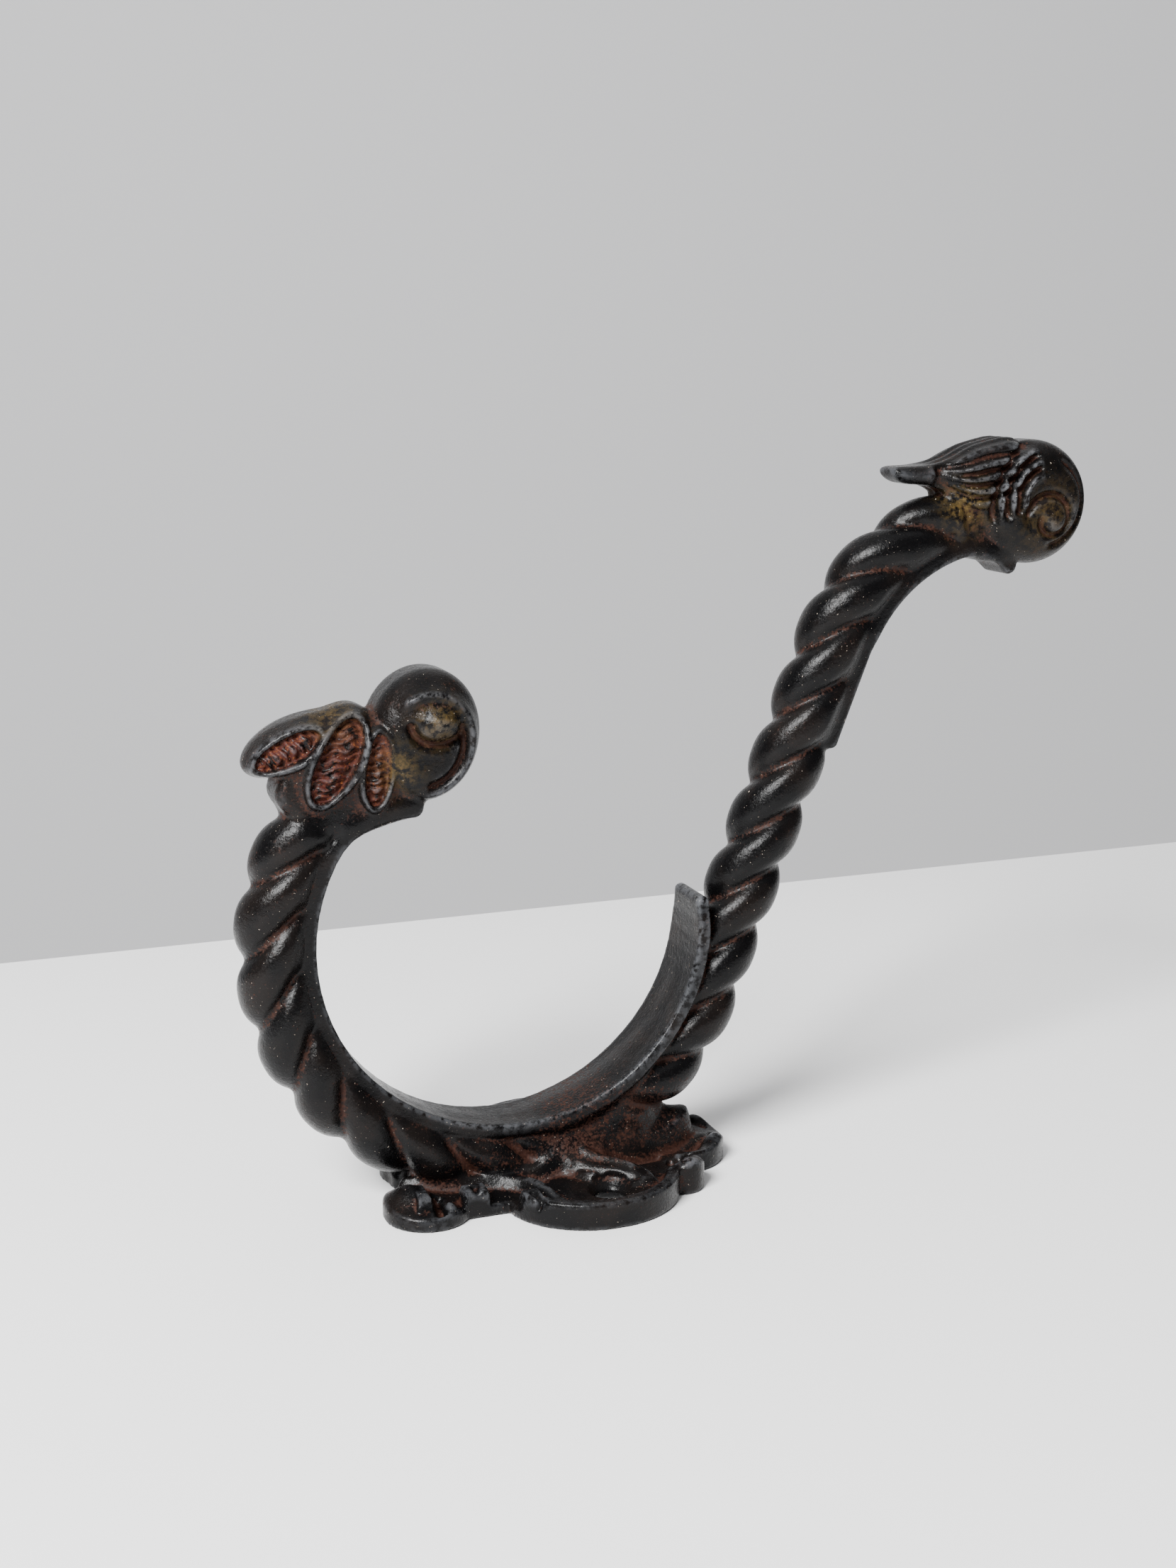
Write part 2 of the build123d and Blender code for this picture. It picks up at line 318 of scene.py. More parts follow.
def spiral(centre, radii, start, end, share_at_start, share_at_end, n=12):
    """A line that winds round a scroll, from one share of its radii to another."""
    turns = np.radians(np.linspace(start, end, n))
    shares = np.linspace(share_at_start, share_at_end, n)
    return [
        (centre[0] + radii[0] * f * math.cos(t), centre[1] + radii[1] * f * math.sin(t))
        for t, f in zip(turns, shares)
    ]


# Lower end: neck, three leaf lobes and the scroll.
drawn["lower_neck"] = side.outline(LOWER_NECK)
drawn["lower_scroll"] = ellipse(
    side,
    (LOWER_SCROLL[0] + 0.7, LOWER_SCROLL[1]),
    (LOWER_SCROLL_R[0] - 0.8, LOWER_SCROLL_R[1]),
    -12,
)

RIM_IN, RIM_W, RIM_HIGH = 0.9, 0.52, 0.9  # a lobe's raised rim
POCKET_DEEP, RIB_HIGH, RIB_SPACING = 1.3, 0.34, 1.35  # and the ribbed pocket inside it
leaf = side.flat(FAR)
plain_w = 7.3 - 2.3 * step_between(-41.0, -50.0, side.u) - 1.6 * step_between(77.0, 83.5, side.v)
leaf_w = plain_w.copy()
pocket = side.flat()
for centre, radii, turn, ribs in LOBES:
    lobe = ellipse(side, centre, radii, turn)
    leaf = join(leaf, lobe, 5.0)
    way = math.radians(ribs + 90)
    across = side.u * math.cos(way) + side.v * math.sin(way)
    length = side.v * math.cos(way) - side.u * math.sin(way)
    wave = 2 * math.pi / RIB_SPACING * across + 1.1 * np.sin(length * 1.9)
    wave = np.sin(wave + 0.8 * np.sin(across * 2.3 + length))
    sunk = step_between(-1.4, -2.1, lobe)
    rim = RIM_HIGH * np.exp(-(((lobe + RIM_IN) / RIM_W) ** 2))
    mine = step_between(0.2, -0.6, lobe)
    leaf_w += (plain_w + rim + sunk * (RIB_HIGH * wave - POCKET_DEEP) - leaf_w) * mine
    pocket = pocket * (1 - mine) + sunk * mine
drawn["lower_leaf"], drawn["lower_leaf_w"], drawn["pocket"] = leaf, leaf_w, pocket

scroll_w = side.flat(SCROLL_HALF_W - 0.3)
side.stroke(scroll_w, spiral(LOWER_SCROLL, LOWER_SCROLL_R, -110, 140, 0.92, 0.62), 1.1, 0.95, 0.12)
side.stroke(scroll_w, spiral(LOWER_SCROLL, LOWER_SCROLL_R, -95, 30, 0.74, 0.56), -1.1, 0.65, 0.12)
side.stroke(scroll_w, spiral(LOWER_EYE, (4.6, 3.6), 165, 340, 1.0, 0.9), -1.3, 0.75, 0.12)
side.dome(scroll_w, LOWER_EYE, 2.6, 2.4, 1.35, 8)
drawn["lower_scroll_w"] = scroll_w

# Upper end: neck, swept leaf and the scroll.
drawn["upper_neck"] = side.outline(UPPER_NECK)
drawn["upper_leaf"] = side.outline(LEAF_TOP + LEAF_UNDER[::-1])
drawn["upper_scroll"] = ellipse(
    side,
    (UPPER_SCROLL[0] - 0.7, UPPER_SCROLL[1]),
    (UPPER_SCROLL_R[0] - 0.6, UPPER_SCROLL_R[1] - 0.4),
)
end_w = side.flat(SCROLL_HALF_W - 0.2)
STRANDS, LOCKS = 5, 3
PLAIN_TIP = 0.30  # the share of the leaf, from its tip, that has no strands
top_edge, under_edge = curve(LEAF_TOP), curve(LEAF_UNDER)
stations = np.linspace(PLAIN_TIP, 1, 7)
top_edge = top_edge[(stations * (len(top_edge) - 1)).astype(int)]
under_edge = under_edge[(stations * (len(under_edge) - 1)).astype(int)]
for i in range(1, STRANDS):  # grooves between the leaf's strands, from its tip to the crown
    side.stroke(end_w, under_edge + (top_edge - under_edge) * i / STRANDS, -1.4, 0.6, 0.14)
for i in range(LOCKS):  # locks that fall round the scroll's back
    share = 0.92 - 0.18 * i
    groove = spiral(UPPER_SCROLL, UPPER_SCROLL_R, 95, 205, share, share - 0.06)
    side.stroke(end_w, groove, -1.5, 0.62, 0.14)
    ridge = spiral(UPPER_SCROLL, UPPER_SCROLL_R, 95, 195, share - 0.09, share - 0.15)
    side.stroke(end_w, ridge, 0.8, 0.7, 0.14)
side.stroke(end_w, spiral(UPPER_SCROLL, UPPER_SCROLL_R, 80, -95, 0.70, 0.66), -1.1, 0.6, 0.14)
side.stroke(end_w, spiral(UPPER_EYE, (5.0, 5.0), 200, -220, 1.0, 0.35, 20), -1.3, 0.62, 0.14)
side.dome(end_w, UPPER_EYE, 2.2, 0.9)
drawn["upper_end_w"] = end_w
drawn["upper_leaf_w"] = (
    end_w - 3.4 * step_between(76.0, 62.0, side.u) - 1.2 * step_between(118.0, 122.5, side.v)
)

# ---- what is drawn on the plate -------------------------------------------------------------------------
plate_low, plate_high = node_box("back_plate")


def on_plate(*shares):
    """Places on the plate, as shares of its length from the toes and of its half width from the middle."""
    return [(plate_low[0] + a * (plate_high[0] - plate_low[0]), b * plate_high[1]) for a, b in shares]


def not_screw(place):
    return math.hypot(place[0] - SCREW[0], abs(place[1]) - SCREW[1]) > SCREW_SINK_R + 0.5


plate_edge = plan.within(node_section("back_plate", 2, PLATE_T * 0.45, not_screw))
body_mid, leaf_mid = on_plate((0.48, 0.0), (0.60, 0.42))
skirt = ellipse(plan, body_mid, (27.0, 7.4))  # the raised mass that flows out from the arms
skirt = join(skirt, ellipse(plan, leaf_mid, (8.6, 3.4), 42.0), 1.5)  # with a leaf on each side
rib_line = curve(on_plate((0.30, 0.20), (0.39, 0.40), (0.43, 0.76)))
skirt = join(skirt, nearest(plan.u, plan.v, rib_line)[0] - 1.2, 1.5)  # and a rib out to the wing
floor_height = 2.0 + 0.9 * step_between(-6.0, -1.0, plan.u)
root_part = step_between(-9.0, -1.0, plan.u)
skirt_height = 3.9 + 0.9 * root_part - 0.9 * step_between(10.0, 19.0, plan.v)
skirt_height += 2.6 * root_part * np.exp(-((plan.v / 5.4) ** 2))
height = floor_height + (skirt_height - floor_height) * step_between(0.7, -0.9, skirt)
wing_rim = step_between(-2.9, -1.9, plate_edge) * step_between(-9.5, -7.0, plan.u)
wing_rim *= step_between(5.0, 11.0, plan.v)
height = np.maximum(height, floor_height + (4.5 - floor_height) * wing_rim)
for place, radius, rise, stretch, turn in [
    ((0.07, 0.34), 3.5, 3.4, 1.3, 45),  # the toe and its knob
    ((0.15, 0.55), 1.5, 1.6, 1.0, 0),
    ((0.86, 0.0), 4.0, 1.6, 1.6, 0),  # the tail
    ((0.95, 0.18), 2.4, 1.9, 1.1, 0),
    ((0.81, 0.62), 2.2, 1.4, 1.0, 0),  # the side lobe
]:
    plan.dome(height, on_plate(place)[0], radius, rise, stretch, turn)
for place, (half_u, half_v), top in [  # two blocks on the edge between the toe and the wing, and a ridge
    ((0.23, 0.46), (2.0, 1.9), 4.7),
    ((0.36, 0.68), (1.5, 2.2), 4.6),
    ((0.09, 0.43), (1.0, 2.6), 5.2),
]:
    u, v = on_plate(place)[0]
    flat_top = step_between(0.8, -0.2, np.maximum(abs(plan.u - u) - half_u, abs(plan.v - v) - half_v))
    height = np.maximum(height, top * flat_top)
PLATE_STROKES = [  # ridges and grooves: places as shares of the plate, height, width
    (((0.13, 0.62), (0.13, 0.46), (0.14, 0.32)), -2.0, 0.8),
    (((0.23, 0.60), (0.23, 0.42)), -0.7, 0.5),
    (((0.37, 0.80), (0.36, 0.62)), -0.7, 0.5),
    (((0.50, 0.32), (0.58, 0.48), (0.67, 0.66)), -1.0, 0.7),
    (((0.54, 0.26), (0.62, 0.40), (0.67, 0.56)), 0.8, 0.7),
    (((0.62, 0.24), (0.71, 0.28), (0.79, 0.26)), -0.8, 0.8),
    (((0.85, 0.28), (0.92, 0.16), (0.98, 0.06)), -1.0, 0.8),
    (((0.78, 0.34), (0.82, 0.40), (0.86, 0.35)), -1.5, 0.9),
]
for places, rise, width in PLATE_STROKES:
    plan.stroke(height, on_plate(*places), rise, width, 0.14)

drawn_on_plate = {
    "edge": plate_edge,
    "height": np.maximum(height, 1.5),
    "screw": np.hypot(plan.u - SCREW[0], plan.v - SCREW[1]),
}
drawn = {name: field.astype(np.float32).ravel() for name, field in drawn.items()}
drawn_on_plate = {name: field.astype(np.float32).ravel() for name, field in drawn_on_plate.items()}


# ---- the casting, as a distance from its surface --------------------------------------------------------
def rounded(edge, across, half, r):
    """A plate-like shape from its outline's distance, as thick as half either way, with round edges."""
    a, b = edge + r, across - half + r
    return np.minimum(np.maximum(a, b), 0) + np.hypot(np.maximum(a, 0), np.maximum(b, 0)) - r


ROPE_CORE, ROPE_LOBE, BEAD = 4.15, 2.15, 0.35
ROOT_R, ROPE_FLAT_R = 5.4, 5.7
STRIP_ROUND, PLATE_ROUND = 0.6, 0.6  # how round the edges of the strips and of the plate are
SEAM = 0.8  # the fillet where a neck meets its leaf and its scroll
STRAND = 2.5  # the spacing of the upper leaf's strands across its crown
ARMS_MEET = 94.0  # how far along the arms the lower one's twist gives way to the upper one's
# Each arm's twist: the length of half a turn, where it starts, and how it slackens from a place onwards.
LOWER_HALF_TURN, LOWER_START, LOWER_SLACK, LOWER_SLACK_FROM = 10.8, 1.0, 0.09, 52
UPPER_HALF_TURN, UPPER_START, UPPER_SLACK, UPPER_SLACK_FROM = 11.1, -0.6, 0.03, 165
LOWER_LEAN, UPPER_LEAN, UPPER_LEAN_AT = 0.55, 0.45, 25.0  # how the strands lean round the arm


def rope(s, u, x, y, by_strip):
    """Two strands twisted to the right, with a thin bead between them, which flatten at a strip."""
    turn = np.arctan2(y, u)
    lower = s < ARMS_MEET
    turned = np.where(
        lower,
        (s - LOWER_SLACK * np.maximum(0, s - LOWER_SLACK_FROM) - LOWER_START) / LOWER_HALF_TURN,
        (s - UPPER_SLACK * np.maximum(0, s - UPPER_SLACK_FROM) - UPPER_START) / UPPER_HALF_TURN,
    )
    lean = np.where(lower, LOWER_LEAN, UPPER_LEAN)
    lean_at = np.where(lower, 0.0, math.radians(UPPER_LEAN_AT))
    phase = turned + (turn - lean / 2 * np.sin(2 * (turn - lean_at))) / math.pi
    from_ridge = phase - np.floor(phase) - 0.5
    r = ROPE_CORE + ROPE_LOBE * (1 - abs(2 * from_ridge) ** 2.5)
    r += BEAD * np.exp(-(((0.5 - abs(from_ridge)) / 0.04) ** 2))
    r *= 1 - 0.11 * step_between(200, 222, s) - 0.05 * step_between(12, 0, s)
    lobed = np.where(lower, step_between(-2.0, -6.0, x), step_between(11.0, 15.0, x))
    r = ROOT_R + (r - ROOT_R) * lobed
    r = r + (ROPE_FLAT_R - r) * 0.8 * by_strip
    body = (np.hypot(u, y) - r) * 0.82  # less than the level distance, as the lobes' sides slope
    return common(body, np.maximum(-s - 0.5, s - WHOLE_LENGTH - 1.0), 2.6)


def casting(i, j, k):
    """Distance from the casting's surface at grid places, in millimetres, negative inside."""
    x, y, z = GX[i], GY[j], GZ[k]
    xz, xy = i * count[2] + k, i * count[1] + j
    off = abs(y)
    d = drawn
    p = drawn_on_plate

    arms = rope(d["along"][xz], d["left"][xz], x, y, d["by_strip"][xz])
    strip = rounded(d["lower_strip"][xz], off, d["lower_strip_w"][xz], STRIP_ROUND)
    root = step_between(26, 10, z) * step_between(-7, 3, x)
    arms = join(arms, strip, 0.9 + 2.4 * root)
    strip = rounded(d["upper_strip"][xz], off, d["upper_strip_w"][xz], STRIP_ROUND)
    arms = join(arms, strip, 1.0)

    plate = rounded(p["edge"][xy], z, p["height"][xy], PLATE_ROUND) * 0.9
    whole = join(arms, plate, 1.3 + 2.7 * root)
    hole = SCREW_HOLE_R + np.clip(z - SINK_FROM, 0, SCREW_SINK_R - SCREW_HOLE_R)
    whole = common(whole, (hole - p["screw"][xy]) * 0.8, 0.3)
    whole = np.maximum(whole, -z)

    neck = rounded(d["lower_neck"][xz], off, NECK_HALF_W - 0.4, 1.8)
    leaf = rounded(d["lower_leaf"][xz], off, d["lower_leaf_w"][xz], 4.8)
    scroll = rounded(d["lower_scroll"][xz], off, d["lower_scroll_w"][xz], SCROLL_ROUND + 1)
    end = join(join(neck, leaf, SEAM), scroll, SEAM)
    whole = join(whole, end, 1.9)

    neck = rounded(d["upper_neck"][xz], off, NECK_HALF_W - 1.1, 1.5)
    strands = 0.4 * (0.5 - 0.5 * np.cos(2 * math.pi * y / STRAND)) * step_between(6.6, 5.4, off)
    strands = strands * step_between(66, 70, x) - 0.35 * step_between(70, 64, x)
    leaf_round = 2.2 + 1.4 * step_between(67, 75, x)
    leaf = rounded(d["upper_leaf"][xz] + strands, off, d["upper_leaf_w"][xz], leaf_round)
    scroll = rounded(d["upper_scroll"][xz], off, d["upper_end_w"][xz], SCROLL_ROUND + 1)
    end = join(join(neck, leaf, SEAM), scroll, 1.2)
    return join(whole, end, 0.9)


def fill_grid():
    """The distance on the whole grid: far from the surface only its side is kept."""
    block = 8
    at_once = 600000  # how many places are worked out together
    far = REACH + 1
    starts = [np.arange(0, n, block) for n in count]
    bi, bj, bk = (a.ravel() for a in np.meshgrid(*starts, indexing="ij"))
    mid = [np.minimum(b + block // 2, n - 1) for b, n in zip((bi, bj, bk), count)]
    centre = casting(*mid)
    half_block = block * STEP * 0.87  # from the middle of a block to its corner
    field = np.full(count, far, np.float32)
    wide = [(b[:, None] + np.arange(block)) for b in (bi, bj, bk)]
    for n in np.nonzero(centre < -half_block - REACH)[0]:
        field[bi[n] : bi[n] + block, bj[n] : bj[n] + block, bk[n] : bk[n] + block] = -far
    near = np.nonzero(abs(centre) <= half_block + REACH)[0]
    for part in np.array_split(near, max(1, len(near) * block**3 // at_once)):
        i = np.repeat(np.repeat(wide[0][part][:, :, None, None], block, 2), block, 3).ravel()
        j = np.repeat(np.repeat(wide[1][part][:, None, :, None], block, 1), block, 3).ravel()
        k = np.repeat(np.repeat(wide[2][part][:, None, None, :], block, 1), block, 2).ravel()
        kept = (i < count[0]) & (j < count[1]) & (k < count[2])
        i, j, k = i[kept], j[kept], k[kept]
        field[i, j, k] = np.clip(casting(i, j, k), -far, far)
    return field


def blurred(field, reach):
    """The field averaged over a box, once along each axis and twice over."""
    for axis in (0, 1, 2) * 2:
        lines = np.moveaxis(field, axis, 0)
        n = len(lines)
        total = sum(lines[a : n - 2 * reach + a] for a in range(2 * reach + 1))
        new = lines.copy()
        new[reach : n - reach] = total / (2 * reach + 1)
        field = np.moveaxis(new, 0, axis)
    return field


field = fill_grid()
volume = openvdb.FloatGrid()
volume.background = REACH + 1
volume.copyFromArray(field)
points, _, quads = volume.convertToPolygons(isovalue=0.0, adaptivity=0.0)
hollow = blurred(np.clip(field, -1.5, 1.5), max(2, round(0.9 / STEP)))  # below 0 on the surface in a hollow


def mesh_object(name, verts, faces):
    mesh = bpy.data.meshes.new(name)
    if isinstance(faces, np.ndarray):
        mesh.vertices.add(len(verts))
        mesh.vertices.foreach_set("co", np.asarray(verts, np.float32).ravel())
        mesh.loops.add(faces.size)
        mesh.loops.foreach_set("vertex_index", faces.astype(np.int32).ravel())
        mesh.polygons.add(len(faces))
        mesh.polygons.foreach_set("loop_start", np.arange(len(faces), dtype=np.int32) * faces.shape[1])
        mesh.update(calc_edges=True)
    else:
        mesh.from_pydata([tuple(float(c) for c in v) for v in verts], [], faces)
    mesh.validate()
    made = bpy.data.objects.new(name, mesh)
    bpy.context.scene.collection.objects.link(made)
    return made


rest_of_casting = mesh_object("casting", points * STEP + low, quads)


# ---- cutting it into the CAD's regions ------------------------------------------------------------------
def prism(outline, half=40.0, inner=0.0):
    """A block whose outline is drawn in the middle plane. With inner, two blocks, one on each side."""
    outline = [tuple(p) for p in outline]
    area = sum(a[0] * b[1] - b[0] * a[1] for a, b in zip(outline, outline[1:] + outline[:1]))
    if area < 0:
        outline = outline[::-1]
    verts, faces = [], []
    for y0, y1 in [(-half, half)] if not inner else [(-half, -inner), (inner, half)]:
        first, n = len(verts), len(outline)
        verts += [(x, y0, z) for x, z in outline] + [(x, y1, z) for x, z in outline]
        faces += [tuple(first + a for a in range(n)), tuple(first + n + a for a in reversed(range(n)))]
        faces += [(first + a, first + n + a, first + n + (a + 1) % n, first + (a + 1) % n) for a in range(n)]
    return verts, faces


def boxed(x0, x1, z0, z1):
    return [(x0, z0), (x1, z0), (x1, z1), (x0, z1)]


def offset_band(line, inside, outside):
    """The outline of a band that follows a line, so far to its left and so far to its right."""
    way = np.gradient(line, axis=0)
    way /= np.hypot(*way.T)[:, None]
    side_way = np.stack([-way[:, 1], way[:, 0]], 1)
    return list(line + side_way * inside) + list((line - side_way * outside)[::-1])


def longer(line, start, end):
    """The line with its two ends carried on straight."""
    a = line[0] - (line[1] - line[0]) / np.hypot(*(line[1] - line[0])) * start
    b = line[-1] + (line[-1] - line[-2]) / np.hypot(*(line[-1] - line[-2])) * end
    return np.vstack([a, line, b])


def grown(centre, radii, more, n=48):
    """The outline of an ellipse, a little larger than its radii."""
    turns = np.linspace(0, 2 * math.pi, n, endpoint=False)
    return [
        (centre[0] + (radii[0] + more) * math.cos(a), centre[1] + (radii[1] + more) * math.sin(a))
        for a in turns
    ]


def cut(source, name, block, operation):
    """source with a block's share kept or taken away, as a new closed piece."""
    cutter = mesh_object("cutter", *block)
    modifier = source.modifiers.new("cut", "BOOLEAN")
    modifier.object, modifier.operation, modifier.solver = cutter, operation, "MANIFOLD"
    found = source.evaluated_get(bpy.context.evaluated_depsgraph_get())
    mesh = bpy.data.meshes.new_from_object(found)
    mesh.name = name
    source.modifiers.clear()
    bpy.data.objects.remove(cutter)
    made = bpy.data.objects.new(name, mesh)
    bpy.context.scene.collection.objects.link(made)
    return made


CRUMB, CRUMB_VERTS = 1.0, 400  # a loose bit smaller than both is left out


def drop_crumbs(mesh):
    """Takes away the loose specks that a cut leaves where it only grazes the surface."""
    shape = bmesh.new()
    shape.from_mesh(mesh)
    shape.verts.ensure_lookup_table()
    seen = np.zeros(len(shape.verts), bool)
    crumbs = []
    for first in shape.verts:
        if seen[first.index]:
            continue
        seen[first.index] = True
        bit, waiting = [], [first]
        while waiting:
            vert = waiting.pop()
            bit.append(vert)
            for edge in vert.link_edges:
                other = edge.other_vert(vert)
                if not seen[other.index]:
                    seen[other.index] = True
                    waiting.append(other)
        if len(bit) < CRUMB_VERTS and np.ptp([vert.co[:] for vert in bit], axis=0).max() < CRUMB:
            crumbs += bit
    bmesh.ops.delete(shape, geom=crumbs, context="VERTS")
    shape.to_mesh(mesh)
    shape.free()


NECK_LOW = [(-45.0, 67.0), (-46.0, 74.5), (-36, 79.5), (-22, 80), (-20, 72), (-24, 66), (-35.5, 63.5)]
LEAF_LOW = [(-54, 66.0), (-45.0, 68.6), (-34.5, 63.6), (-24.0, 66.0), (-24.0, 88), (-54, 88)]
NECK_HIGH = [(71.5, 112.6), (76.0, 116.5), (86.0, 116.0), (87.0, 104.0), (80.0, 100.5), (73.0, 104.0)]
LEAF_HIGH = [
    (57, 114.9), (68.0, 114.4), (71.5, 112.6), (73.0, 104.0), (79, 98), (90, 98), (90, 126), (57, 126)
]
lower_band = offset_band(longer(lower_strip, 1.5, 2.5), 2.6, 1.1)
upper_band = offset_band(longer(upper_strip, 1.5, 1.5), 1.1, 2.6)
lower_disc = grown(LOWER_SCROLL, LOWER_SCROLL_R, 0.5)
upper_disc = grown(UPPER_SCROLL, UPPER_SCROLL_R, 0.5)
root_block = boxed(-27, 26, PLATE_T - 1, PLATE_T + 4)
regions = [  # in the order they are cut: the piece, the nodes it stands for, its material and its block
    ("plate", ["back_plate"], "plate_iron", prism(boxed(-60, 60, -10, PLATE_T))),
    ("root_sides", ["root_boss"], "plate_iron", prism(root_block, 14, NECK_HALF_W)),
    ("lower_lining", ["lower_saddle"], "saddle_iron", prism(lower_band)),
    ("upper_lining", ["upper_saddle"], "saddle_iron", prism(upper_band)),
    ("lower_volute", ["lower_scroll", "lower_scroll_eyes"], "scroll_iron", prism(lower_disc)),
    ("upper_volute", ["upper_scroll", "upper_scroll_eyes"], "scroll_iron", prism(upper_disc)),
    ("lower_web", ["lower_neck"], "neck_iron", prism(NECK_LOW, NECK_HALF_W)),
    ("upper_web", ["upper_neck"], "neck_iron", prism(NECK_HIGH, NECK_HALF_W)),
    ("lower_acanthus", ["lower_leaf"], "leaf_iron", prism(LEAF_LOW)),
    ("upper_acanthus", ["upper_leaf"], "leaf_iron", prism(LEAF_HIGH)),
    ("lower_arm", ["lower_rope"], "rope_iron", prism(boxed(-80, LOWER_CENTRE[0], -20, 140))),
    ("upper_arm", ["upper_rope"], "rope_iron", None),
]


# ---- finish ---------------------------------------------------------------------------------------------
def at_vertices(mesh):
    co = np.zeros(len(mesh.vertices) * 3, np.float32)
    mesh.vertices.foreach_get("co", co)
    return co.reshape(-1, 3)


def sampled(grid_field, co):
    """The grid's value at places, straight between its points."""
    g = (co - low) / STEP
    base = np.clip(np.floor(g).astype(int), 0, np.array(count) - 2)
    t = g - base
    value = 0
    for a in (0, 1):
        for b in (0, 1):
            for c in (0, 1):
                weight = abs(1 - a - t[:, 0]) * abs(1 - b - t[:, 1]) * abs(1 - c - t[:, 2])
                value = value + weight * grid_field[base[:, 0] + a, base[:, 1] + b, base[:, 2] + c]
    return value


neck_middle = middle("upper_neck")
NECK_DIRT = (neck_middle[0] - 2.0, neck_middle[1] + 0.5)


def patch(co, centre, radius):
    """1 at a place in the middle plane, and less and less round it."""
    return np.exp(-((co[:, 0] - centre[0]) ** 2 + (co[:, 2] - centre[1]) ** 2) / radius**2)


def add_masks(mesh, co):
    """Where dirt lies and where edges are rubbed, from the shape, and where the coloured rust is."""
    shape = sampled(hollow, co)
    x, y, z = co.T
    i = np.clip(np.round((x - low[0]) / STEP).astype(int), 0, count[0] - 1)
    k = np.clip(np.round((z - low[2]) / STEP).astype(int), 0, count[2] - 1)
    in_pocket = drawn["pocket"][i * count[2] + k] * step_between(2.6, 3.6, abs(y))
    inner_lobe, middle_lobe = LOBES[1][0], LOBES[2][0]
    ochre = 0.9 * patch(co, NECK_DIRT, 3.4) + 0.3 * patch(co, UPPER_EYE, 5.5)
    ochre += 0.5 * patch(co, LOWER_EYE, 3.2)
    by_scroll, on_crown = (inner_lobe[0] + 2.5, inner_lobe[1]), (middle_lobe[0], 82.0)
    ochre += 0.5 * patch(co, by_scroll, 3.4) + 0.35 * patch(co, on_crown, 4.0)
    root_top = 8 + 9 * step_between(-7, 1, x)
    root = step_between(root_top + 3, root_top - 3, z) * step_between(4.2, 6.0, z)
    root *= step_between(-26, -14, x) * step_between(34, 24, x)
    masks = {
        "dirt": np.clip(-shape * 2.1, 0, 1),
        "rub": np.clip((shape - 0.18) * 3.4, 0, 1),
        "red": in_pocket,
        "ochre": np.clip(ochre, 0, 1),
        "brown": np.clip(root, 0, 1),
    }
    for name, values in masks.items():
        layer = mesh.attributes.new(name, "FLOAT", "POINT")
        layer.data.foreach_set("value", values.astype(np.float32))


class Nodes:
    """A short way to write a material's nodes."""

    def __init__(self, name):
        self.material = bpy.data.materials.new(name)
        self.material.use_nodes = True
        self.tree = self.material.node_tree
        self.shader = self.tree.nodes["Principled BSDF"]
        coords = self.tree.nodes.new("ShaderNodeTexCoord")
        self.place = coords.outputs["Object"]

    def link(self, value, socket):
        if isinstance(value, bpy.types.NodeSocket):
            self.tree.links.new(value, socket)
        else:
            socket.default_value = value

    def noise(self, scale, detail=3.0, rough=0.55):
        n = self.tree.nodes.new("ShaderNodeTexNoise")
        n.inputs["Scale"].default_value, n.inputs["Detail"].default_value = scale, detail
        n.inputs["Roughness"].default_value = rough
        self.link(self.place, n.inputs["Vector"])
        return n.outputs["Fac"]

    def mask(self, name):
        n = self.tree.nodes.new("ShaderNodeAttribute")
        n.attribute_name = name
        return n.outputs["Fac"]

    def math(self, kind, a, b=0.0, c=0.0, clamp=False):
        n = self.tree.nodes.new("ShaderNodeMath")
        n.operation, n.use_clamp = kind, clamp
        for value, socket in zip((a, b, c), n.inputs):
            self.link(value, socket)
        return n.outputs[0]

    def ramp(self, value, start, end, to=(0.0, 1.0)):
        n = self.tree.nodes.new("ShaderNodeMapRange")
        n.interpolation_type = "SMOOTHSTEP"
        for v, socket in zip((value, start, end, *to), n.inputs):
            self.link(v, socket)
        return n.outputs[0]

    def mix(self, share, a, b):
        n = self.tree.nodes.new("ShaderNodeMix")
        n.data_type = "RGBA"
        for value, name in ((share, "Factor_Float"), (a, "A_Color"), (b, "B_Color")):
            socket = next(s for s in n.inputs if s.identifier == name)
            self.link((*value, 1.0) if isinstance(value, tuple) else value, socket)
        return next(s for s in n.outputs if s.identifier == "Result_Color")

    def bump(self, value, strength, distance, under=None):
        n = self.tree.nodes.new("ShaderNodeBump")
        n.inputs["Strength"].default_value, n.inputs["Distance"].default_value = strength, distance
        self.link(value, n.inputs["Height"])
        if under is not None:
            self.link(under, n.inputs["Normal"])
        return n.outputs[0]


BLACK, SOOT, UMBER = (0.0020, 0.0019, 0.0021), (0.0055, 0.0042, 0.0038), (0.038, 0.0145, 0.0090)
BROWN, RED, ORANGE = (0.021, 0.0078, 0.0052), (0.040, 0.0095, 0.0068), (0.135, 0.042, 0.012)
OCHRE, MOSS = (0.115, 0.072, 0.024), (0.060, 0.042, 0.014)
STEEL, SPECK = (0.085, 0.088, 0.095), (0.52, 0.44, 0.36)


